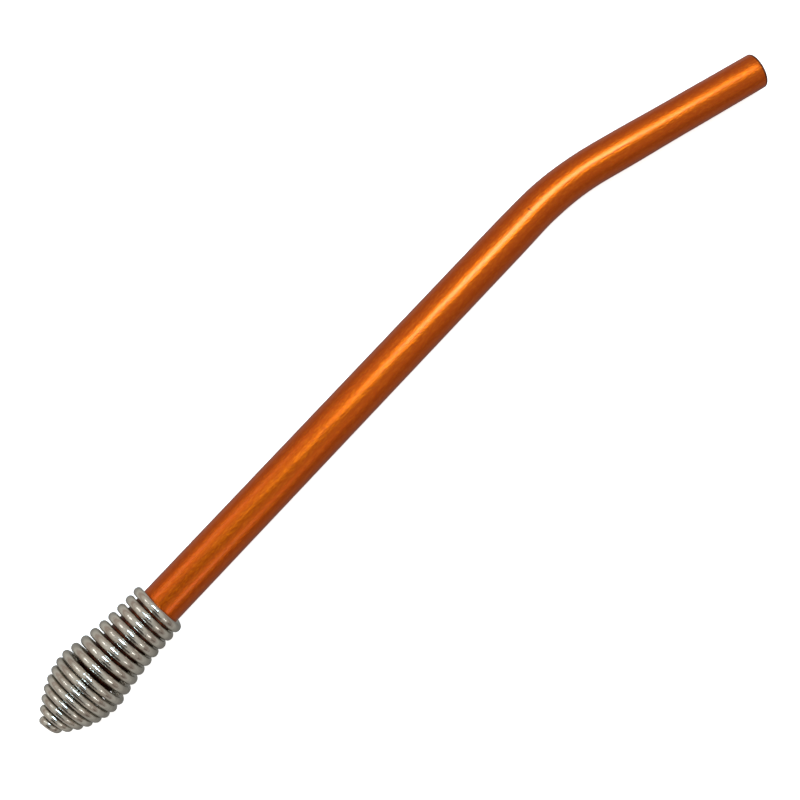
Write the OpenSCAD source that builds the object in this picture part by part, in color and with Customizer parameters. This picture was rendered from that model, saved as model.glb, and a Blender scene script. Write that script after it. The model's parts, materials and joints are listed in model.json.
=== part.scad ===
// Bombilla: a drinking straw for mate. A bent aluminium tube carries a coil spring on its lower end,
// which lets the drink in and keeps the leaves out. The spring pulls off the tube to be rinsed.
// The straw lies on its side, as it is put down on a table: the belly of the spring and the neck
// after the bend touch the table at z = 0, and the mouthpiece lies level. +X runs to the mouth.

/* [Shank] */
// Outside diameter of the shank
shank_d = 8; // [7.5:0.1:9]
// Wall of the tube, all the way
tube_wall = 0.8; // [0.5:0.1:1.2]
// Straight length of the shank, from its lower end to the bend
shank_length = 117.8; // [80:0.1:160]
// Edge broken off the tube's lower end
deburr = 0.15; // [0.05:0.05:0.2]

/* [Bend and mouth] */
// Radius of the bend, at the tube's centre line
bend_radius = 62; // [40:1:90]
// Angle by which the bend turns the mouth away from the shank
bend_angle = 16.6; // [10:0.1:25]
// Outside diameter of the neck, the straight tube on either side of the bend
neck_d = 7.65; // [7.4:0.05:8]
// How much the tube slims on its diameter where it is bent
bend_slim = 0.06; // [0.04:0.02:0.2]
// Length of the shoulder in which the shank narrows to the neck
shoulder_length = 4; // [2:0.5:10]
// Straight length of the neck after the bend
neck_length = 6; // [4:0.5:12]
// Length of the taper from the neck to the mouthpiece
taper_length = 14; // [6:0.5:20]
// Outside diameter of the mouthpiece
mouth_d = 7.25; // [6.8:0.05:7.6]
// Length of the cylindrical mouthpiece
mouth_length = 16.5; // [10:0.5:30]

/* [Filter spring] */
// Diameter of the wire
wire_d = 1.4; // [1.2:0.05:1.6]
// Outside diameter of the widest turn, the belly
belly_d = 14.2; // [13:0.1:18]
// Open turns, from the belly to the upper end of the wire
open_turns = 8.45; // [6:0.05:12]
// Gap between the open turns at the upper end
top_gap = 0.6; // [0.45:0.05:1]
// Gap between the open turns at the belly
belly_gap = 0.7; // [0.45:0.05:1.2]
// How late the open turns flare to the belly: 1 is a straight cone
flare = 2.5; // [1.5:0.1:4]
// Close turns, from the belly to the tip
close_turns = 7.35; // [6:0.05:7.4]
// Close turns in which the nose would run out to a point
nose_turns = 8; // [7.8:0.1:12]
// Gap between the first close turns
close_gap = 0.3; // [0.26:0.02:0.5]
// How much less each close turn advances than the one before it
close_tighten = 0.03; // [0:0.005:0.05]
// Direction, round the shank, in which the wire reaches the belly
belly_phase = 110; // [0:5:355]
// Clearance between the tube and the turns that grip it
grip_clearance = 0.06; // [0.05:0.01:0.15]

/* [Hidden] */
$fn = 96;

// Tube
shank_r = shank_d / 2;
neck_r = neck_d / 2;
bend_r = (neck_d - bend_slim) / 2;
mouth_r = mouth_d / 2;
rim_r = tube_wall / 2;
// Length by which the straight tube runs on into the bend
run_on = 0.5;

// The straw's own frame has its origin where the shank's axis meets the mouth's axis,
// with the shank along -X and the mouth turned towards -Y
tangent = bend_radius * tan(bend_angle / 2);
shank_end = tangent + shank_length;
mouth_end = tangent + neck_length + taper_length + mouth_length;
mouth_axis = [cos(bend_angle), -sin(bend_angle), 0];

// Wire of the spring: rings of points, so many to a turn, each with so many sides
rings_per_turn = 24;
wire_sides = 6;
wire_r = wire_d / 2;
belly_r = belly_d / 2 - wire_r;
grip_r = shank_r + grip_clearance + wire_r;
top_pitch = wire_d + top_gap;
belly_pitch = wire_d + belly_gap;
close_pitch = wire_d + close_gap;
ring_count = floor((open_turns + close_turns) * rings_per_turn);

// Radius of the wire's centre line, v turns above the belly
function turn_radius(v) =
    v >= 0
    ? grip_r + (belly_r - grip_r) * pow(max(0, 1 - v / open_turns), flare)
    : belly_r * (1 - pow(v / nose_turns, 2));

// Height of the wire's centre line along the shank, v turns above the belly
function turn_height(v) =
    v >= 0
    ? belly_pitch * v - (belly_pitch - top_pitch) * v * v / (2 * open_turns)
    : close_pitch * v + close_tighten * v * v / 2;

// Slope of the spring's outline, from half a turn below to half a turn above
function turn_slope(v) =
    atan2(turn_height(v + 0.5) - turn_height(v - 0.5), turn_radius(v + 0.5) - turn_radius(v - 0.5));

// One ring of the wire, with its flats towards the turns above and below
function wire_ring(v) =
    [for (side = [0:wire_sides - 1])
        let (
            t = turn_slope(v) + (side + 0.5) * 360 / wire_sides,
            r = turn_radius(v) + wire_r * cos(t),
            x = turn_height(v) + wire_r * sin(t) - shank_end,
            w = belly_phase + 360 * v
        )
        [x, r * cos(w), r * sin(w)]];

// Faces of a tube along so many rings, closed at both ends
function tube_faces(rings, sides) = concat(
    [for (k = [1:sides - 2]) [0, k + 1, k]],
    [for (i = [0:rings - 2], k = [0:sides - 1])
        let (a = i * sides + k, b = i * sides + (k + 1) % sides)
        [a, b, b + sides]],
    [for (i = [0:rings - 2], k = [0:sides - 1])
        let (a = i * sides + k, b = i * sides + (k + 1) % sides)
        [a, b + sides, a + sides]],
    [for (k = [1:sides - 2]) let (a = (rings - 1) * sides) [a, a + k, a + k + 1]]
);

wire_rings = [for (i = [0:ring_count]) wire_ring(i / rings_per_turn - close_turns)];
wire_points = [for (ring = wire_rings) each ring];

// Least distance from the wire to itself, from half a turn to a little more than a turn further on
least_gap = min(
    [for (i = [0:ring_count - rings_per_turn])
        for (j = [i + rings_per_turn / 2:min(i + rings_per_turn + 2, ring_count)])
            for (p = wire_rings[i])
                for (q = wire_rings[j]) norm(p - q)]
);
echo(str("Least gap of the spring's wire to itself: ", least_gap, " mm"));

// Rest on the table: the straw is rolled about the mouth's axis until the belly is as low as the neck
table_r = max([for (p = wire_ring(-0.5)) norm([p.y, p.z])]);
rest_roll = asin((table_r - neck_r) / (shank_end * sin(bend_angle)));

function rolled(p) =
    p * cos(rest_roll) - cross(mouth_axis, p) * sin(rest_roll)
    + mouth_axis * (mouth_axis * p) * (1 - cos(rest_roll));

rest_points = [for (p = wire_points) rolled(p)];
rim_reach = mouth_r - rim_r;
x_low = min([for (p = rest_points) p.x]);
x_high = (mouth_end - rim_r) * cos(bend_angle) + rim_reach * sin(bend_angle) + rim_r;
y_low = -(mouth_end - rim_r) * sin(bend_angle) - rim_reach * cos(bend_angle) - rim_r;
y_high = max([for (p = rest_points) p.y]);
z_low = min(min([for (p = rest_points) p.z]), -neck_r);

// Lays the straw on the table, with the middle of its footprint at the origin
module lay_down() {
    translate([-(x_low + x_high) / 2, -(y_low + y_high) / 2, -z_low])
        rotate(a = -rest_roll, v = mouth_axis)
            children();
}

// Straight shank, revolved round its axis, with the shoulder at its upper end
module shank() {
    shoulder = shank_length - shoulder_length;
    bore_r = shank_r - tube_wall;
    translate([-shank_end, 0, 0])
        rotate([0, 90, 0])
            rotate_extrude()
                polygon([
                    [bore_r, deburr],
                    [bore_r + deburr, 0],
                    [shank_r - deburr, 0],
                    [shank_r, deburr],
                    [shank_r, shoulder],
                    [neck_r, shank_length],
                    [neck_r, shank_length + run_on],
                    [neck_r - tube_wall, shank_length + run_on],
                    [neck_r - tube_wall, shank_length],
                    [bore_r, shoulder]
                ]);
}

// The bend, swept round its own centre
module bend() {
    translate([-tangent, -bend_radius, 0])
        rotate([0, 0, 90 - bend_angle])
            rotate_extrude(angle = bend_angle)
                translate([bend_radius, 0])
                    difference() {
                        circle(r = bend_r);
                        circle(r = bend_r - tube_wall);
                    }
}

// Neck, taper and mouthpiece, revolved round the mouth's axis, with a rounded rim
module mouth() {
    taper_end = neck_length + taper_length;
    rim_start = taper_end + mouth_length - rim_r;
    rotate([0, 0, -bend_angle])
        translate([tangent, 0, 0])
            rotate([0, 90, 0])
                rotate_extrude() {
                    polygon([
                        [neck_r - tube_wall, -run_on],
                        [neck_r, -run_on],
                        [neck_r, neck_length],
                        [mouth_r, taper_end],
                        [mouth_r, rim_start],
                        [mouth_r - tube_wall, rim_start],
                        [mouth_r - tube_wall, taper_end],
                        [neck_r - tube_wall, neck_length]
                    ]);
                    translate([rim_reach, rim_start])
                        circle(r = rim_r);
                }
}

module tube() {
    color("#BF560E")
        lay_down() {
            shank();
            bend();
            mouth();
        }
}

module filter_spring() {
    color("#AFABA2")
        lay_down()
            polyhedron(points = wire_points, faces = tube_faces(ring_count + 1, wire_sides));
}

tube();
filter_spring();
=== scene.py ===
"""Looks of a bombilla, a drinking straw for mate.

An orange anodised tube with one gentle bend carries a filter, a coil spring of nickel-plated wire. The two
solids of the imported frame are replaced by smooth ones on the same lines, and these get their finishes. The
straw lies on a plain white table in soft studio light.
"""

from __future__ import annotations

import json
import logging
import math
from dataclasses import dataclass
from enum import Enum
from typing import Any, ClassVar

import bpy
from mathutils import Euler, Matrix, Vector

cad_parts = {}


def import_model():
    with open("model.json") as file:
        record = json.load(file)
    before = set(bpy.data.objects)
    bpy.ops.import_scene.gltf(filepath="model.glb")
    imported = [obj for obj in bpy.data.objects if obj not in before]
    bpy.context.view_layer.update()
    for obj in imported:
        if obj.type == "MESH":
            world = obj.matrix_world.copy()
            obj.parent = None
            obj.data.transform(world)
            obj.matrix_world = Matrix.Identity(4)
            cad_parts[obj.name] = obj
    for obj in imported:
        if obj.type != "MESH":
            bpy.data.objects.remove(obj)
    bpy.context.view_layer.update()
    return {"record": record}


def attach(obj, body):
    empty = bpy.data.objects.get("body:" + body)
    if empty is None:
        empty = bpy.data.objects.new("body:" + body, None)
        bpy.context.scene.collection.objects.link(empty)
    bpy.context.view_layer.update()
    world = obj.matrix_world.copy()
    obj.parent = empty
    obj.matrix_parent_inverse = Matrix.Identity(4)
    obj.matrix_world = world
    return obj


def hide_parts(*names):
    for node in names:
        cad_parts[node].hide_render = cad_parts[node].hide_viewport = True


LOG = logging.getLogger("bombilla")
# Metres in a millimetre
MM = 0.001
# Sockets of the Mix node when it mixes colours
MIX_SHARE = 0
MIX_FIRST = 6
MIX_SECOND = 7
MIX_RESULT = 2


class Body(Enum):
    """Bodies of the frame, each with one node of the same name."""

    TUBE = "tube"
    FILTER_SPRING = "filter_spring"


class Slot(Enum):
    """Material slots of the record."""

    ANODISED_ALUMINIUM = "anodised_aluminium"
    NICKEL_PLATED_WIRE = "nickel_plated_wire"


class LampShape(Enum):
    """Shapes of a lamp's front."""

    ROUND = "DISK"
    OBLONG = "RECTANGLE"


def linear_colour(hex_colour: str) -> tuple[float, float, float, float]:
    """Turns an sRGB colour into a linear one.

    Args:
        hex_colour: Colour as "#RRGGBB".

    Returns:
        Linear red, green, blue and an alpha of 1.
    """
    channels = [int(hex_colour[i:i + 2], 16) / 255 for i in (1, 3, 5)]
    linear = [c / 12.92 if c <= 0.04045 else ((c + 0.055) / 1.055) ** 2.4 for c in channels]
    return linear[0], linear[1], linear[2], 1.0


def smooth_step(value: float, low: float, high: float) -> float:
    """Rises smoothly from 0 to 1.

    Args:
        value: Where to look.
        low: Value at which the rise starts.
        high: Value at which the rise ends.

    Returns:
        The height of the rise.
    """
    share = min(1.0, max(0.0, (value - low) / (high - low)))
    return share * share * (3 - 2 * share)


def add_node(tree: Any, kind: str, inputs: dict[Any, Any] | None = None, **settings: Any) -> Any:
    """Adds a node to a tree, with its settings and links.

    Args:
        tree: Node tree that gets the node.
        kind: Type name of the node.
        inputs: Values, or outputs of other nodes, by the input's name or number.
        settings: Properties of the node.

    Returns:
        The new node.
    """
    node = tree.nodes.new(kind)
    for name, value in settings.items():
        setattr(node, name, value)
    for name, value in (inputs or {}).items():
        if isinstance(value, bpy.types.NodeSocket):
            tree.links.new(value, node.inputs[name])
        else:
            node.inputs[name].default_value = value
    return node


def new_material(name: str) -> tuple[bpy.types.Material, bpy.types.NodeTree]:
    """Starts a material with no nodes in it.

    Args:
        name: Name of the material.

    Returns:
        The material and its tree.
    """
    material = bpy.data.materials.new(name)
    material.use_nodes = True
    material.node_tree.nodes.clear()
    return material, material.node_tree


def new_object(name: str, data: bpy.types.ID) -> bpy.types.Object:
    """Puts an object into the scene.

    Args:
        name: Name of the object.
        data: Its mesh, light or camera.

    Returns:
        The object.
    """
    thing = bpy.data.objects.new(name, data)
    bpy.context.scene.collection.objects.link(thing)
    return thing


def facing(place: tuple[float, float, float], aim: tuple[float, float, float]) -> Euler:
    """Gives the turn with which a lamp or camera looks from its place to its aim."""
    return (Vector(aim) - Vector(place)).to_track_quat("-Z", "Y").to_euler()


@dataclass(frozen=True)
class AnodisedAluminium:
    """Drawn aluminium tube, etched satin, anodised and dyed orange.

    The dye sits in a clear oxide skin on bright metal, so the eye gets a deep orange metal with a soft satin
    highlight. It is paler where the light is strong, because the face of the skin reflects white. The etch
    leaves a fine speckle, and the drawing leaves faint lines along the tube.
    """

    name: str = "satin_anodised_aluminium"
    dye: str = "#C25303"
    dye_deep: str = "#BA4C02"
    speck: str = "#CE650A"
    mark: str = "#2E0F05"
    painted_shade: str = "#3A190D"
    painted_rim_reflection: str = "#33130A"
    roughness_low: float = 0.32
    roughness_high: float = 0.40
    skin: float = 0.22
    skin_roughness: float = 0.22
    # Etched grain is a few hundredths of a millimetre; it is drawn at a third of one so that it shows
    grain: float = 0.34 * MM
    draw_line: float = 0.55 * MM
    # Shares of their scale that the grain and the lines keep along the tube, so that both are drawn out
    grain_along: float = 0.32
    line_along: float = 0.025
    # How many finer layers the noises have, and how strong these are
    detail: float = 2.0
    painted_shade_detail: float = 3.0
    fineness: float = 0.6
    line_fineness: float = 0.55
    # Values of the grain between which the specks come up, and between which the roughness rises
    speck_range: tuple[float, float] = (0.45, 0.75)
    rough_range: tuple[float, float] = (0.3, 0.7)
    speck_share: float = 0.7
    relief: float = 0.6
    relief_depth: float = 0.09 * MM
    line_relief: float = 0.6
    dye_cloud: float = 24 * MM
    # A short mark across the top of the tube, where the bend begins: full in its core, gone at its size
    mark_place: tuple[float, float, float] = (117.9 * MM, -0.05 * MM, 4.0 * MM)
    mark_size: tuple[float, float, float] = (0.22 * MM, 0.65 * MM, 0.8 * MM)
    mark_slant: float = -0.24
    mark_core: float = 0.5
    mark_share: float = 0.6
    # Painted shade darkens the end that the spring covers, where its turns shade the tube. It lies in
    # blotches and thins out between these two on a wavy edge
    painted_shade_from: float = 14.9 * MM
    painted_shade_to: float = 17.0 * MM
    painted_shade_wave: float = 2.6 * MM
    painted_shade_cloud: float = 2.6 * MM
    painted_shade_range: tuple[float, float] = (0.36, 0.62)
    painted_shade_thinnest: float = 0.86
    # A thin dark line is painted on the rounded rim of the mouth: a painted reflection of the dim room beyond
    # it
    painted_rim_from: float = 0.62 * MM
    painted_rim_to: float = 0.42 * MM
    painted_rim_share: float = 0.8

    def material(self, mouth: float) -> bpy.types.Material:
        """Makes the material, on the tube's own attribute of places before the bend.

        Args:
            mouth: Distance of the mouth's rim from the lower end, along the tube.

        Returns:
            The material.
        """
        material, tree = new_material(self.name)
        unbent = add_node(tree, "ShaderNodeAttribute", attribute_name=Tube.UNBENT).outputs["Vector"]
        along = add_node(
            tree, "ShaderNodeMapping", {"Vector": unbent, "Scale": (self.grain_along, 1, 1)}
        ).outputs[0]
        drawn = add_node(
            tree, "ShaderNodeMapping", {"Vector": unbent, "Scale": (self.line_along, 1, 1)}
        ).outputs[0]
        grain = add_node(
            tree, "ShaderNodeTexNoise",
            {"Vector": along, "Scale": 1 / self.grain, "Detail": self.detail, "Roughness": self.fineness},
        ).outputs["Fac"]
        lines = add_node(
            tree, "ShaderNodeTexNoise",
            {"Vector": drawn, "Scale": 1 / self.draw_line, "Detail": self.detail,
             "Roughness": self.line_fineness},
        ).outputs["Fac"]
        cloud = add_node(
            tree, "ShaderNodeTexNoise",
            {"Vector": unbent, "Scale": 1 / self.dye_cloud, "Detail": self.detail},
        ).outputs["Fac"]
        specks = add_node(
            tree, "ShaderNodeMapRange",
            {"Value": grain, "From Min": self.speck_range[0], "From Max": self.speck_range[1],
             "To Min": 0.0, "To Max": self.speck_share},
        ).outputs["Result"]
        offset = add_node(
            tree, "ShaderNodeVectorMath", {0: unbent, 1: self.mark_place}, operation="SUBTRACT"
        ).outputs["Vector"]
        slanted = add_node(
            tree, "ShaderNodeVectorRotate", {"Vector": offset, "Angle": self.mark_slant},
            rotation_type="Z_AXIS",
        ).outputs["Vector"]
        scaled = add_node(
            tree, "ShaderNodeVectorMath", {0: slanted, 1: self.mark_size}, operation="DIVIDE"
        ).outputs["Vector"]
        reach = add_node(tree, "ShaderNodeVectorMath", {0: scaled}, operation="LENGTH").outputs["Value"]
        marked = add_node(
            tree, "ShaderNodeMapRange",
            {"Value": reach, "From Min": self.mark_core, "From Max": 1.0,
             "To Min": self.mark_share, "To Max": 0.0},
        ).outputs["Result"]
        way = add_node(tree, "ShaderNodeSeparateXYZ", {0: unbent}).outputs["X"]
        # Painted shade on the end of the tube that the spring covers, for the shade between its turns
        painted_shade_noise = add_node(
            tree, "ShaderNodeTexNoise",
            {"Vector": unbent, "Scale": 1 / self.painted_shade_cloud, "Detail": self.painted_shade_detail,
             "Roughness": self.fineness},
        ).outputs["Fac"]
        wave = add_node(
            tree, "ShaderNodeMapRange",
            {"Value": painted_shade_noise, "To Min": -self.painted_shade_wave / 2, "To Max": self.painted_shade_wave / 2},
        ).outputs["Result"]
        wavy = add_node(tree, "ShaderNodeMath", {0: way, 1: wave}, operation="ADD").outputs[0]
        painted_shade_edge = add_node(
            tree, "ShaderNodeMapRange",
            {"Value": wavy, "From Min": self.painted_shade_from, "From Max": self.painted_shade_to,
             "To Min": 1.0, "To Max": 0.0},
            interpolation_type="SMOOTHSTEP",
        ).outputs["Result"]
        depth = add_node(
            tree, "ShaderNodeMapRange",
            {"Value": painted_shade_noise, "From Min": self.painted_shade_range[0], "From Max": self.painted_shade_range[1],
             "To Min": 1.0, "To Max": self.painted_shade_thinnest},
        ).outputs["Result"]
        painted_shade_mask = add_node(tree, "ShaderNodeMath", {0: painted_shade_edge, 1: depth}, operation="MULTIPLY").outputs[0]
        # Painted dark reflection on the rounded rim of the mouth
        painted_rim_mask = add_node(
            tree, "ShaderNodeMapRange",
            {"Value": way, "From Min": mouth - self.painted_rim_from, "From Max": mouth - self.painted_rim_to,
             "To Min": 0.0, "To Max": self.painted_rim_share},
        ).outputs["Result"]
        colour: Any = linear_colour(self.dye_deep)
        # The last two layers are painted: shade under the spring, and a dark reflection on the mouth's rim
        layers = (
            (cloud, self.dye),
            (specks, self.speck),
            (marked, self.mark),
            (painted_shade_mask, self.painted_shade),
            (painted_rim_mask, self.painted_rim_reflection),
        )
        for share, tint in layers:
            colour = add_node(
                tree, "ShaderNodeMix",
                {MIX_SHARE: share, MIX_FIRST: colour, MIX_SECOND: linear_colour(tint)},
                data_type="RGBA",
            ).outputs[MIX_RESULT]
        roughness = add_node(
            tree, "ShaderNodeMapRange",
            {"Value": grain, "From Min": self.rough_range[0], "From Max": self.rough_range[1],
             "To Min": self.roughness_low, "To Max": self.roughness_high},
        ).outputs["Result"]
        relief = add_node(
            tree, "ShaderNodeMath", {0: lines, 1: self.line_relief, 2: grain}, operation="MULTIPLY_ADD"
        ).outputs[0]
        normal = add_node(
            tree, "ShaderNodeBump",
            {"Strength": self.relief, "Distance": self.relief_depth, "Height": relief},
        ).outputs["Normal"]
        shader = add_node(
            tree, "ShaderNodeBsdfPrincipled",
            {"Base Color": colour, "Metallic": 1.0, "Roughness": roughness, "Normal": normal,
             "Coat Weight": self.skin, "Coat Roughness": self.skin_roughness},
        )
        add_node(tree, "ShaderNodeOutputMaterial", {"Surface": shader.outputs["BSDF"]})
        return material


@dataclass(frozen=True)
class NickelPlatedSteel:
    """Spring steel wire, wound and then plated with bright nickel.

    The plate gives a warm grey mirror on a small round wire, so each turn shows the lamps as short white
    dashes. Winding leaves a slight unevenness, which breaks the dashes up a little.
    """

    name: str = "nickel_plated_steel"
    plate: str = "#C8C4BB"
    tarnish: str = "#A8A199"
    roughness_low: float = 0.08
    roughness_high: float = 0.15
    # The unevenness is a few hundredths of a millimetre deep; it is drawn deeper so that it shows
    ripple: float = 0.8 * MM
    relief: float = 0.5
    relief_depth: float = 0.15 * MM
    tarnish_cloud: float = 2.5 * MM
    # How many finer layers the noises have, and how strong those of the ripple are
    detail: float = 3.0
    ripple_fineness: float = 0.55
    # Values of the cloud between which the tarnish comes up, and between which the roughness rises
    tarnish_range: tuple[float, float] = (0.42, 0.75)
    rough_range: tuple[float, float] = (0.3, 0.7)
    tarnish_share: float = 0.8

    def material(self) -> bpy.types.Material:
        """Makes the material, on the piece's Object coordinates.

        Returns:
            The material.
        """
        material, tree = new_material(self.name)
        place = add_node(tree, "ShaderNodeTexCoord").outputs["Object"]
        ripple = add_node(
            tree, "ShaderNodeTexNoise",
            {"Vector": place, "Scale": 1 / self.ripple, "Detail": self.detail,
             "Roughness": self.ripple_fineness},
        ).outputs["Fac"]
        cloud = add_node(
            tree, "ShaderNodeTexNoise",
            {"Vector": place, "Scale": 1 / self.tarnish_cloud, "Detail": self.detail},
        ).outputs["Fac"]
        share = add_node(
            tree, "ShaderNodeMapRange",
            {"Value": cloud, "From Min": self.tarnish_range[0], "From Max": self.tarnish_range[1],
             "To Min": 0.0, "To Max": self.tarnish_share},
        ).outputs["Result"]
        colour = add_node(
            tree, "ShaderNodeMix",
            {MIX_SHARE: share, MIX_FIRST: linear_colour(self.plate), MIX_SECOND: linear_colour(self.tarnish)},
            data_type="RGBA",
        ).outputs[MIX_RESULT]
        roughness = add_node(
            tree, "ShaderNodeMapRange",
            {"Value": cloud, "From Min": self.rough_range[0], "From Max": self.rough_range[1],
             "To Min": self.roughness_low, "To Max": self.roughness_high},
        ).outputs["Result"]
        normal = add_node(
            tree, "ShaderNodeBump",
            {"Strength": self.relief, "Distance": self.relief_depth, "Height": ripple},
        ).outputs["Normal"]
        shader = add_node(
            tree, "ShaderNodeBsdfPrincipled",
            {"Base Color": colour, "Metallic": 1.0, "Roughness": roughness, "Normal": normal},
        )
        add_node(tree, "ShaderNodeOutputMaterial", {"Surface": shader.outputs["BSDF"]})
        return material


@dataclass(frozen=True)
class Lie:
    """How the straw lies: its own frame in the frame of the table.

    The own frame starts where the axes of the shank and the mouth meet, with the shank along -X and the mouth
    turned towards -Y.
    """

    meeting: Vector
    shank: Vector
    mouth: Vector

    @classmethod
    def from_record(cls, record: dict[str, Any], mount_reach: float) -> Lie:
        """Reads the two axes off the record's joint and mouth mount.

        Args:
            record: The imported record.
            mount_reach: Distance from the meeting of the axes to the mouth mount.

        Returns:
            The lie.
        """
        mount = next(m for m in record["mounts"] if m["name"] == "mouth_bore")
        joint = record["behaviour"]["joints"][0]
        mouth = Vector(mount["axis"]).normalized()
        shank = -Vector(joint["axis"]).normalized()
        return cls(Vector(mount["pos_m"]) - mouth * mount_reach, shank, mouth)

    @property
    def bend_angle(self) -> float:
        """Angle between the shank and the mouth, in radians."""
        return self.shank.angle(self.mouth)

    def matrix(self) -> Matrix:
        """Gives the matrix from the straw's own frame to the table's.

        Returns:
            The matrix.
        """
        side = (self.shank * math.cos(self.bend_angle) - self.mouth) / math.sin(self.bend_angle)
        rows = Matrix((self.shank, side, self.shank.cross(side))).transposed()
        return Matrix.Translation(self.meeting) @ rows.to_4x4()


def plain_piece(
    name: str, base: bpy.types.Mesh, tree: bpy.types.NodeTree, sizes: dict[str, Any]
) -> bpy.types.Object:
    """Runs a tree of geometry nodes on a mesh, and keeps the result as a plain mesh.

    Args:
        name: Name of the piece.
        base: Mesh that the tree starts from.
        tree: The tree.
        sizes: Values for the tree's named inputs.

    Returns:
        The piece, with no modifier left on it.
    """
    piece = new_object(name, base)
    modifier = piece.modifiers.new("sweep", "NODES")
    modifier.node_group = tree
    for item in tree.interface.items_tree:
        if item.item_type == "SOCKET" and item.in_out == "INPUT" and item.name in sizes:
            modifier[item.identifier] = sizes[item.name]
    graph = bpy.context.evaluated_depsgraph_get()
    mesh = bpy.data.meshes.new_from_object(piece.evaluated_get(graph))
    piece.modifiers.clear()
    piece.data = mesh
    mesh.name = name
    bpy.data.meshes.remove(base)
    return piece


def new_tree(name: str, inputs: dict[str, str]) -> tuple[bpy.types.NodeTree, dict[str, Any]]:
    """Starts a tree of geometry nodes, with named inputs.

    Args:
        name: Name of the tree.
        inputs: Socket types by the inputs' names.

    Returns:
        The tree, and the outputs of its input node by name.
    """
    tree = bpy.data.node_groups.new(name, "GeometryNodeTree")
    tree.interface.new_socket("Geometry", in_out="INPUT", socket_type="NodeSocketGeometry")
    for label, kind in inputs.items():
        tree.interface.new_socket(label, in_out="INPUT", socket_type=kind)
    tree.interface.new_socket("Geometry", in_out="OUTPUT", socket_type="NodeSocketGeometry")
    group_input = add_node(tree, "NodeGroupInput")
    return tree, {socket.name: socket for socket in group_input.outputs if socket.name}


def end_tree(tree: Any, mesh: Any, material: Any) -> None:
    """Ends a tree of geometry nodes, with its mesh smooth, real and dressed.

    Args:
        tree: The tree.
        mesh: Output that gives the mesh.
        material: Output that gives the material.
    """
    smooth = add_node(tree, "GeometryNodeSetShadeSmooth", {"Geometry": mesh})
    real = add_node(tree, "GeometryNodeRealizeInstances", {"Geometry": smooth.outputs[0]})
    dressed = add_node(tree, "GeometryNodeSetMaterial", {"Geometry": real.outputs[0], "Material": material})
    add_node(tree, "NodeGroupOutput", {"Geometry": dressed.outputs[0]})


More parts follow.
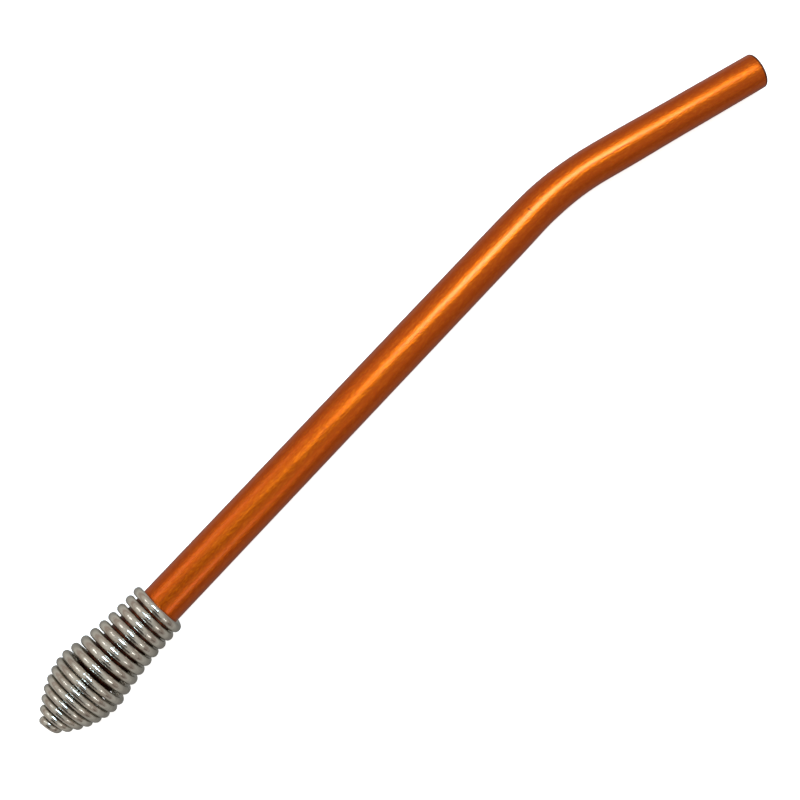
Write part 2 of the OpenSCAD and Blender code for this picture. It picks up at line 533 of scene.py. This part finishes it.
@dataclass
class Tube:
    """The bent tube: shank, bend, neck and mouth, as one wall with a bore."""

    UNBENT: ClassVar[str] = "unbent"

    shank_length: float = 117.8 * MM
    bend_radius: float = 62 * MM
    neck_and_taper: float = 20 * MM
    mouth_length: float = 16.5 * MM
    wall: float = 0.8 * MM
    # Rounding of the lower end's two edges, and the angles at which it is drawn
    edge: float = 0.15 * MM
    edge_angles: tuple[int, ...] = (0, 30, 60, 90)
    # How much higher than wide the tube is in the middle of the bend
    oval: float = 0.1 * MM
    sides: int = 96
    step: float = 1.3 * MM
    rim_points: int = 10
    # Points nearer than this become one, where the wall's ends meet
    weld: float = 0.001 * MM
    # Outside diameters on the way up from the lower end
    stations: tuple[tuple[float, float], ...] = (
        (0 * MM, 8.0 * MM),
        (111 * MM, 8.0 * MM),
        (121 * MM, 7.8 * MM),
        (131.5 * MM, 7.58 * MM),
        (140 * MM, 7.62 * MM),
        (154 * MM, 7.35 * MM),
        (172.5 * MM, 7.2 * MM),
    )

    def length(self, bend_angle: float) -> float:
        """Length along the centre line, from the lower end to the mouth's rim."""
        return self.shank_length + self.bend_radius * bend_angle + self.neck_and_taper + self.mouth_length

    def tangent(self, bend_angle: float) -> float:
        """Distance from the bend's ends to the meeting of the two axes."""
        return self.bend_radius * math.tan(bend_angle / 2)

    def lower_end(self, bend_angle: float) -> float:
        """Distance from the meeting of the axes to the lower end."""
        return self.tangent(bend_angle) + self.shank_length

    def mount_reach(self, bend_angle: float) -> float:
        """Distance from the meeting of the axes to the middle of the mouth's cylinder."""
        cylinder = self.mouth_length - self.wall / 2
        return self.tangent(bend_angle) + self.neck_and_taper + cylinder / 2

    def outside_radius(self, along: float) -> float:
        """Gives the tube's outside radius.

        Args:
            along: Distance from the lower end, along the centre line.

        Returns:
            The radius.
        """
        for (low, first), (high, second) in zip(self.stations, self.stations[1:]):
            if along <= high:
                return (first + (second - first) * smooth_step(along, low, high)) / 2
        return self.stations[-1][1] / 2

    def wall_section(self, bend_angle: float) -> list[tuple[float, float, float]]:
        """Draws the wall as a closed line: up the outside, round the rim and down the bore.

        Args:
            bend_angle: Angle of the bend, in radians.

        Returns:
            Points of distance along the tube, half width and half height.
        """
        length = self.length(bend_angle)
        bend_end = self.shank_length + self.bend_radius * bend_angle
        rim = self.wall / 2
        count = int((length - rim - self.edge) / self.step)
        stops = [self.edge + (length - rim - self.edge) * i / count for i in range(count + 1)]

        def ring(along: float, inset: float) -> tuple[float, float, float]:
            """Gives one point of the line.

            Args:
                along: Distance from the lower end.
                inset: Depth below the outside.

            Returns:
                The distance, half width and half height.
            """
            share = (along - self.shank_length) / (bend_end - self.shank_length)
            swell = math.sin(math.pi * min(1, max(0, share)))
            radius = self.outside_radius(along) - inset
            return along, radius, radius + self.oval / 2 * swell

        corner = [math.radians(angle) for angle in self.edge_angles]
        outer_edge = [ring(self.edge * (1 - math.cos(a)), self.edge * (1 - math.sin(a))) for a in corner]
        inner_edge = [
            ring(self.edge * (1 - math.sin(a)), self.wall - self.edge * (1 - math.cos(a))) for a in corner
        ]
        turn = [math.pi * i / self.rim_points for i in range(1, self.rim_points)]
        lip = [ring(length - rim + rim * math.sin(a), rim - rim * math.cos(a)) for a in turn]
        outside = [ring(stop, 0.0) for stop in stops[1:]]
        bore = [ring(stop, self.wall) for stop in reversed(stops[1:])]
        return outer_edge + outside + lip + bore + inner_edge

    def sweep_tree(self) -> bpy.types.NodeTree:
        """Makes the tree that carries the wall's line round the tube and along the bend.

        Returns:
            The tree.
        """
        tree, given = new_tree("tube_sweep", {
            "Sides": "NodeSocketInt",
            "Bend start": "NodeSocketFloat",
            "Bend radius": "NodeSocketFloat",
            "Bend angle": "NodeSocketFloat",
            "Material": "NodeSocketMaterial",
        })
        count = add_node(
            tree, "GeometryNodeAttributeDomainSize", {0: given["Geometry"]}
        ).outputs["Point Count"]
        across = add_node(tree, "ShaderNodeMath", {0: count, 1: 1.0}, operation="ADD").outputs[0]
        around = add_node(tree, "ShaderNodeMath", {0: given["Sides"], 1: 1.0}, operation="ADD").outputs[0]
        grid = add_node(tree, "GeometryNodeMeshGrid", {"Vertices X": across, "Vertices Y": around})
        share = add_node(tree, "ShaderNodeSeparateXYZ", {0: grid.outputs["UV Map"]})
        place = add_node(
            tree, "ShaderNodeMath", {0: share.outputs["X"], 1: count}, operation="MULTIPLY"
        ).outputs[0]
        whole = add_node(tree, "ShaderNodeMath", {0: place}, operation="ROUND").outputs[0]
        index = add_node(tree, "ShaderNodeMath", {0: whole, 1: count}, operation="MODULO").outputs[0]
        position = add_node(tree, "GeometryNodeInputPosition").outputs[0]
        sample = add_node(
            tree, "GeometryNodeSampleIndex",
            {"Geometry": given["Geometry"], "Value": position, "Index": index},
            data_type="FLOAT_VECTOR",
        )
        section = add_node(tree, "ShaderNodeSeparateXYZ", {0: sample.outputs["Value"]})
        along = section.outputs["X"]
        angle = add_node(
            tree, "ShaderNodeMath", {0: share.outputs["Y"], 1: math.tau}, operation="MULTIPLY"
        ).outputs[0]
        cosine = add_node(tree, "ShaderNodeMath", {0: angle}, operation="COSINE").outputs[0]
        sine = add_node(tree, "ShaderNodeMath", {0: angle}, operation="SINE").outputs[0]
        width = add_node(
            tree, "ShaderNodeMath", {0: section.outputs["Y"], 1: cosine}, operation="MULTIPLY"
        ).outputs[0]
        height = add_node(
            tree, "ShaderNodeMath", {0: section.outputs["Z"], 1: sine}, operation="MULTIPLY"
        ).outputs[0]
        unbent = add_node(tree, "ShaderNodeCombineXYZ", {"X": along, "Y": width, "Z": height}).outputs[0]
        bend_end = add_node(
            tree, "ShaderNodeMath",
            {0: given["Bend radius"], 1: given["Bend angle"], 2: given["Bend start"]},
            operation="MULTIPLY_ADD",
        ).outputs[0]
        turn = add_node(
            tree, "ShaderNodeMapRange",
            {"Value": along, "From Min": given["Bend start"], "From Max": bend_end,
             "To Min": 0.0, "To Max": given["Bend angle"]},
        ).outputs["Result"]
        turn_sine = add_node(tree, "ShaderNodeMath", {0: turn}, operation="SINE").outputs[0]
        turn_cosine = add_node(tree, "ShaderNodeMath", {0: turn}, operation="COSINE").outputs[0]
        shank = add_node(
            tree, "ShaderNodeMath", {0: along, 1: given["Bend start"]}, operation="MINIMUM"
        ).outputs[0]
        beyond = add_node(tree, "ShaderNodeMath", {0: along, 1: bend_end}, operation="SUBTRACT").outputs[0]
        rest = add_node(tree, "ShaderNodeMath", {0: beyond, 1: 0.0}, operation="MAXIMUM").outputs[0]
        # The bend turns about a centre on the tube's -Y side: a point's reach from it sets its way
        reach = add_node(
            tree, "ShaderNodeMath", {0: width, 1: given["Bend radius"]}, operation="ADD"
        ).outputs[0]
        way = add_node(
            tree, "ShaderNodeMath", {0: reach, 1: turn_sine, 2: shank}, operation="MULTIPLY_ADD"
        ).outputs[0]
        x = add_node(
            tree, "ShaderNodeMath", {0: rest, 1: turn_cosine, 2: way}, operation="MULTIPLY_ADD"
        ).outputs[0]
        aside = add_node(
            tree, "ShaderNodeMath", {0: reach, 1: turn_cosine}, operation="MULTIPLY"
        ).outputs[0]
        centred = add_node(
            tree, "ShaderNodeMath", {0: aside, 1: given["Bend radius"]}, operation="SUBTRACT"
        ).outputs[0]
        drop = add_node(tree, "ShaderNodeMath", {0: rest, 1: turn_sine}, operation="MULTIPLY").outputs[0]
        y = add_node(tree, "ShaderNodeMath", {0: centred, 1: drop}, operation="SUBTRACT").outputs[0]
        bent = add_node(tree, "ShaderNodeCombineXYZ", {"X": x, "Y": y, "Z": height}).outputs[0]
        stored = add_node(
            tree, "GeometryNodeStoreNamedAttribute",
            {"Geometry": grid.outputs["Mesh"], "Name": self.UNBENT, "Value": unbent},
            data_type="FLOAT_VECTOR",
        )
        moved = add_node(tree, "GeometryNodeSetPosition", {"Geometry": stored.outputs[0], "Position": bent})
        closed = add_node(
            tree, "GeometryNodeMergeByDistance", {"Geometry": moved.outputs[0], "Distance": self.weld}
        )
        end_tree(tree, closed.outputs[0], given["Material"])
        return tree

    def build(self, lie: Lie, finish: AnodisedAluminium) -> bpy.types.Object:
        """Makes the tube and puts it in the place of its node.

        Args:
            lie: How the straw lies.
            finish: The tube's finish.

        Returns:
            The piece.
        """
        line = bpy.data.meshes.new("wall_section")
        line.from_pydata(self.wall_section(lie.bend_angle), [], [])
        piece = plain_piece("anodised_tube", line, self.sweep_tree(), {
            "Sides": self.sides,
            "Bend start": self.shank_length,
            "Bend radius": self.bend_radius,
            "Bend angle": lie.bend_angle,
            "Material": finish.material(self.length(lie.bend_angle)),
        })
        piece.data.transform(lie.matrix() @ Matrix.Translation((-self.lower_end(lie.bend_angle), 0, 0)))
        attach(piece, Body.TUBE.value)
        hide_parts(Body.TUBE.value)
        return piece


@dataclass
class FilterSpring:
    """The coil spring on the tube's lower end: open turns above its belly, close turns down to its tip."""

    GIRTH: ClassVar[str] = "girth"
    MIDDLE: ClassVar[str] = "middle"
    FULLNESS: ClassVar[str] = "fullness"

    wire: float = 1.52 * MM
    belly: float = 14.2 * MM
    grip: float = 9.56 * MM
    # Winding leaves the wire of the open turns thicker along the axis than across it. This share of its
    # thickness is added little by little between these turns above the belly
    fullness: float = 0.15
    full_turns: tuple[float, float] = (0.0, 1.5)
    open_turns: float = 8.45
    close_turns: float = 7.35
    nose_turns: float = 8.0
    flare: float = 2.5
    top_pitch: float = 2.0 * MM
    belly_pitch: float = 2.1 * MM
    close_pitch: float = 1.65 * MM
    close_tighten: float = 0.025 * MM
    belly_phase: float = 110.0
    # The turns lean by so many degrees, and the side in this direction lies lower than the other. The lean
    # grows to that of the top between these turns above the belly
    lean: float = 2.2
    top_lean: float = 6.0
    lean_phase: float = 193.0
    lean_turns: tuple[float, float] = (3.0, 7.0)
    # Length of the wire's rounded ends, and the share of its girth that is left at the last point
    end_round: float = 0.35 * MM
    end_girth: float = 0.35
    rings_per_turn: int = 72
    sides: int = 18

    def turn_radius(self, turns: float) -> float:
        """Gives the radius of the wire's centre line.

        Args:
            turns: Turns above the belly.

        Returns:
            The radius.
        """
        belly = (self.belly - self.wire) / 2
        grip = self.grip / 2
        if turns >= 0:
            return grip + (belly - grip) * max(0.0, 1 - turns / self.open_turns) ** self.flare
        return belly * (1 - (turns / self.nose_turns) ** 2)

    def turn_height(self, turns: float) -> float:
        """Gives the height of the wire's centre line above the tube's lower end.

        Args:
            turns: Turns above the belly.

        Returns:
            The height.
        """
        if turns >= 0:
            slack = (self.belly_pitch - self.top_pitch) / (2 * self.open_turns)
            return self.belly_pitch * turns - slack * turns ** 2
        return self.close_pitch * turns + self.close_tighten * turns ** 2 / 2

    def centre_line(self) -> tuple[list[Vector], list[float], list[float]]:
        """Follows the wire from the tip to its upper end.

        Returns:
            Points of the centre line from the tube's lower end, and the wire's radius and fullness at each.
        """
        count = int((self.open_turns + self.close_turns) * self.rings_per_turn)
        points = []
        fullnesses = []
        for i in range(count + 1):
            turns = i / self.rings_per_turn - self.close_turns
            angle = math.radians(self.belly_phase) + math.tau * turns
            radius = self.turn_radius(turns)
            lean = self.lean + (self.top_lean - self.lean) * smooth_step(turns, *self.lean_turns)
            sag = radius * math.tan(math.radians(lean)) * math.cos(angle - math.radians(self.lean_phase))
            points.append(Vector((
                self.turn_height(turns) - sag,
                radius * math.cos(angle),
                radius * math.sin(angle),
            )))
            fullnesses.append(self.fullness * smooth_step(turns, *self.full_turns))
        walked = [0.0]
        for first, second in zip(points, points[1:]):
            walked.append(walked[-1] + (second - first).length)
        girths = []
        for way in walked:
            to_end = min(way, walked[-1] - way)
            short = max(0.0, 1 - to_end / self.end_round)
            share = self.end_girth + (1 - self.end_girth) * math.sqrt(1 - short ** 2)
            girths.append(self.wire / 2 * share)
        return points, girths, fullnesses

    def wire_tree(self) -> bpy.types.NodeTree:
        """Makes the tree that sweeps the round wire along its centre line.

        Returns:
            The tree.
        """
        tree, given = new_tree("wire_sweep", {
            "Sides": "NodeSocketInt",
            "Material": "NodeSocketMaterial",
        })
        curve = add_node(tree, "GeometryNodeMeshToCurve", {"Mesh": given["Geometry"]}).outputs[0]
        girth, middle, fullness = (
            add_node(
                tree, "GeometryNodeInputNamedAttribute", {"Name": name}, data_type="FLOAT"
            ).outputs["Attribute"]
            for name in (self.GIRTH, self.MIDDLE, self.FULLNESS)
        )
        circle = add_node(
            tree, "GeometryNodeCurvePrimitiveCircle", {"Resolution": given["Sides"], "Radius": 1.0},
            mode="RADIUS",
        ).outputs["Curve"]
        swept = add_node(
            tree, "GeometryNodeCurveToMesh",
            {"Curve": curve, "Profile Curve": circle, "Scale": girth, "Fill Caps": True},
        ).outputs["Mesh"]
        position = add_node(tree, "GeometryNodeInputPosition").outputs[0]
        height = add_node(tree, "ShaderNodeSeparateXYZ", {0: position}).outputs["X"]
        above = add_node(tree, "ShaderNodeMath", {0: height, 1: middle}, operation="SUBTRACT").outputs[0]
        swell = add_node(tree, "ShaderNodeMath", {0: above, 1: fullness}, operation="MULTIPLY").outputs[0]
        offset = add_node(tree, "ShaderNodeCombineXYZ", {"X": swell}).outputs[0]
        full = add_node(tree, "GeometryNodeSetPosition", {"Geometry": swept, "Offset": offset})
        end_tree(tree, full.outputs[0], given["Material"])
        return tree

    def build(self, lie: Lie, lower_end: float, finish: NickelPlatedSteel) -> bpy.types.Object:
        """Makes the spring and puts it in the place of its node.

        Args:
            lie: How the straw lies.
            lower_end: Distance from the meeting of the axes to the tube's lower end.
            finish: The wire's finish.

        Returns:
            The piece.
        """
        points, girths, fullnesses = self.centre_line()
        line = bpy.data.meshes.new("wire_line")
        line.from_pydata(points, [(i, i + 1) for i in range(len(points) - 1)], [])
        point_values = {
            self.GIRTH: girths,
            self.MIDDLE: [point.x for point in points],
            self.FULLNESS: fullnesses,
        }
        for name, values in point_values.items():
            line.attributes.new(name, "FLOAT", "POINT").data.foreach_set("value", values)
        piece = plain_piece("spring_wire", line, self.wire_tree(), {
            "Sides": self.sides,
            "Material": finish.material(),
        })
        piece.data.transform(lie.matrix() @ Matrix.Translation((-lower_end, 0, 0)))
        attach(piece, Body.FILTER_SPRING.value)
        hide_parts(Body.FILTER_SPRING.value)
        return piece


@dataclass(frozen=True)
class Lamp:
    """A soft lamp that faces the straw."""

    name: str
    shape: LampShape
    place: tuple[float, float, float]
    aim: tuple[float, float, float]
    size: tuple[float, float]
    brightness: float
    colour: str

    def build(self) -> None:
        """Makes the lamp, with its power worked out from its area and the brightness of its front."""
        data = bpy.data.lights.new(self.name, "AREA")
        data.shape = self.shape.value
        data.size = self.size[0]
        area = math.pi * self.size[0] ** 2 / 4
        if self.shape is LampShape.OBLONG:
            data.size_y = self.size[1]
            area = self.size[0] * self.size[1]
        data.energy = self.brightness * math.pi * area
        data.color = linear_colour(self.colour)[:3]
        lamp = new_object(self.name, data)
        lamp.location = self.place
        lamp.rotation_euler = facing(self.place, self.aim)


@dataclass(frozen=True)
class Shade:
    """A dark place of the room, with the half angles in degrees at which the dark is full and gone."""

    direction: tuple[float, float, float]
    full: float
    gone: float
    depth: float


@dataclass
class Studio:
    """Table, room, lamps and camera."""

    table_size: float = 4.0
    table_colour: str = "#F6F6F5"
    table_glow: float = 0.75
    table_roughness: float = 0.9
    # Outline of the sweep, the white wall round the table: radius and height of each ring
    sweep: tuple[tuple[float, float], ...] = (
        (1.9, -0.002), (2.2, 0.04), (2.45, 0.18), (2.6, 0.45), (2.68, 0.9), (2.7, 3.0)
    )
    sweep_sides: int = 96
    # The room by the sine of the height: brightness and tint of floor, dark warm horizon, walls and ceiling
    room: tuple[tuple[float, float, str], ...] = (
        (-1.0, 0.22, "#FFFDF6"),
        (-0.6, 0.42, "#FFFDF6"),
        (-0.3, 0.62, "#FFFDF6"),
        (-0.06, 0.48, "#FBEDE4"),
        (0.1, 0.46, "#F8E4D8"),
        (0.36, 0.63, "#FFF8EE"),
        (0.6, 0.74, "#FFFDF6"),
        (1.0, 0.74, "#FFFDF6"),
    )
    # Share by which the room is brighter on the +Y side
    room_slant: float = 0.11
    shades: tuple[Shade, ...] = (
        Shade((0.05, -0.14, 0.99), full=8.0, gone=21.0, depth=0.85),
        Shade((-0.75, -0.2, 0.62), full=16.0, gone=30.0, depth=0.9),
        Shade((-0.2, -0.97, 0.1), full=4.0, gone=18.0, depth=0.45),
    )
    # Where the camera stands and what it looks at, its lens and sensor in millimetres, and its nearest sight
    eye: tuple[float, float, float] = (-0.03998, -0.03375, 0.27433)
    target: tuple[float, float, float] = (-0.0041, -0.00079, 0.0)
    lens: float = 65.84
    sensor: float = 36.0
    near: float = 0.01
    # The overhead lamp has the cool light of a window, and draws the bright ridge along the tube
    lamps: tuple[Lamp, ...] = (
        Lamp(
            "overhead", LampShape.OBLONG, place=(0.19, 0.035, 0.5), aim=(0.04, 0.004, 0.0),
            size=(0.19, 0.13), brightness=28.0, colour="#B8DAF4",
        ),
        Lamp(
            "behind", LampShape.ROUND, place=(-0.085, 0.45, 0.47), aim=(-0.06, 0.0, 0.0),
            size=(0.20, 0.20), brightness=2.1, colour="#FFFFFF",
        ),
        Lamp(
            "beside", LampShape.ROUND, place=(-0.075, -0.33, 0.23), aim=(-0.06, 0.0, 0.0),
            size=(0.10, 0.10), brightness=3.0, colour="#FFFFFF",
        ),
    )

    def table_finish(self) -> bpy.types.Material:
        """Makes the matt white of table and sweep, which glows a little as a light table does.

        Returns:
            The material.
        """
        material, tree = new_material("white_table")
        shader = add_node(
            tree, "ShaderNodeBsdfPrincipled",
            {"Base Color": linear_colour(self.table_colour), "Roughness": self.table_roughness,
             "Specular IOR Level": 0.0,
             "Emission Color": (1, 1, 1, 1), "Emission Strength": self.table_glow},
        )
        add_node(tree, "ShaderNodeOutputMaterial", {"Surface": shader.outputs["BSDF"]})
        return material

    def build_table(self, finish: bpy.types.Material) -> None:
        """Makes the table.

        Args:
            finish: The table's finish.
        """
        half = self.table_size / 2
        points = [(-half, -half, 0), (half, -half, 0), (half, half, 0), (-half, half, 0)]
        mesh = bpy.data.meshes.new("table")
        mesh.from_pydata(points, [], [(0, 1, 2, 3)])
        mesh.materials.append(finish)
        table = new_object("table", mesh)
        # The straw mirrors the room below the edge of the table, and not the glow
        table.visible_glossy = False

    def build_sweep(self, finish: bpy.types.Material) -> None:
        """Makes the sweep, the curved wall round the table.

        Args:
            finish: The sweep's finish.
        """
        points = [
            Matrix.Rotation(math.tau * side / self.sweep_sides, 3, "Z") @ Vector((radius, 0, height))
            for radius, height in self.sweep
            for side in range(self.sweep_sides)
        ]
        faces = []
        for ring in range(len(self.sweep) - 1):
            for side in range(self.sweep_sides):
                here = ring * self.sweep_sides + side
                beside = ring * self.sweep_sides + (side + 1) % self.sweep_sides
                faces.append((here, here + self.sweep_sides, beside + self.sweep_sides, beside))
        mesh = bpy.data.meshes.new("sweep")
        mesh.from_pydata(points, [], faces)
        mesh.shade_smooth()
        mesh.materials.append(finish)
        sweep = new_object("sweep", mesh)
        # The light of the room comes in through the sweep
        sweep.visible_glossy = False
        sweep.visible_diffuse = False
        sweep.visible_shadow = False

    def build_room(self) -> None:
        """Makes the room: pale above and below, dim and warm at the horizon, with its dark places."""
        world = bpy.data.worlds.new("room")
        world.use_nodes = True
        tree = world.node_tree
        tree.nodes.clear()
        direction = add_node(tree, "ShaderNodeTexCoord").outputs["Generated"]
        split = add_node(tree, "ShaderNodeSeparateXYZ", {0: direction})
        height = add_node(
            tree, "ShaderNodeMapRange", {"Value": split.outputs["Z"], "From Min": -1.0, "From Max": 1.0}
        ).outputs["Result"]
        ramp = add_node(tree, "ShaderNodeValToRGB", {"Fac": height})
        stops = ramp.color_ramp.elements
        for number, (place, level, tint) in enumerate(self.room):
            stop = stops[number] if number < len(stops) else stops.new(1.0)
            stop.position = (place + 1) / 2
            red, green, blue, _ = linear_colour(tint)
            stop.color = (red * level, green * level, blue * level, 1.0)
        strength = add_node(
            tree, "ShaderNodeMath", {0: split.outputs["Y"], 1: self.room_slant, 2: 1.0},
            operation="MULTIPLY_ADD",
        ).outputs[0]
        for shade in self.shades:
            toward = add_node(
                tree, "ShaderNodeVectorMath", {0: direction, 1: Vector(shade.direction).normalized()},
                operation="DOT_PRODUCT",
            ).outputs["Value"]
            shaded = add_node(
                tree, "ShaderNodeMapRange",
                {"Value": toward, "From Min": math.cos(math.radians(shade.gone)),
                 "From Max": math.cos(math.radians(shade.full)), "To Min": 1.0, "To Max": 1 - shade.depth},
                interpolation_type="SMOOTHSTEP",
            ).outputs["Result"]
            strength = add_node(
                tree, "ShaderNodeMath", {0: strength, 1: shaded}, operation="MULTIPLY"
            ).outputs[0]
        light = add_node(tree, "ShaderNodeBackground", {"Color": ramp.outputs["Color"], "Strength": strength})
        add_node(tree, "ShaderNodeOutputWorld", {"Surface": light.outputs[0]})
        bpy.context.scene.world = world

    def build_camera(self) -> None:
        """Makes the camera."""
        data = bpy.data.cameras.new("camera")
        data.sensor_width = self.sensor
        data.lens = self.lens
        data.clip_start = self.near
        camera = new_object("camera", data)
        camera.location = self.eye
        camera.rotation_euler = facing(self.eye, self.target)
        bpy.context.scene.camera = camera

    def build(self) -> None:
        """Makes all of the studio, with plain colours in the picture."""
        finish = self.table_finish()
        self.build_table(finish)
        self.build_sweep(finish)
        self.build_room()
        for lamp in self.lamps:
            lamp.build()
        self.build_camera()
        bpy.context.scene.view_settings.view_transform = "Standard"


def main() -> None:
    """Builds the straw's pieces and the studio."""
    logging.basicConfig(level=logging.INFO, format="%(name)s: %(message)s")
    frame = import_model()
    tube = Tube()
    spring = FilterSpring()
    bend_angle = Lie.from_record(frame["record"], 0.0).bend_angle
    lie = Lie.from_record(frame["record"], tube.mount_reach(bend_angle))
    pieces = [
        tube.build(lie, AnodisedAluminium()),
        spring.build(lie, tube.lower_end(bend_angle), NickelPlatedSteel()),
    ]
    Studio().build()


if __name__ == "__main__":
    main()
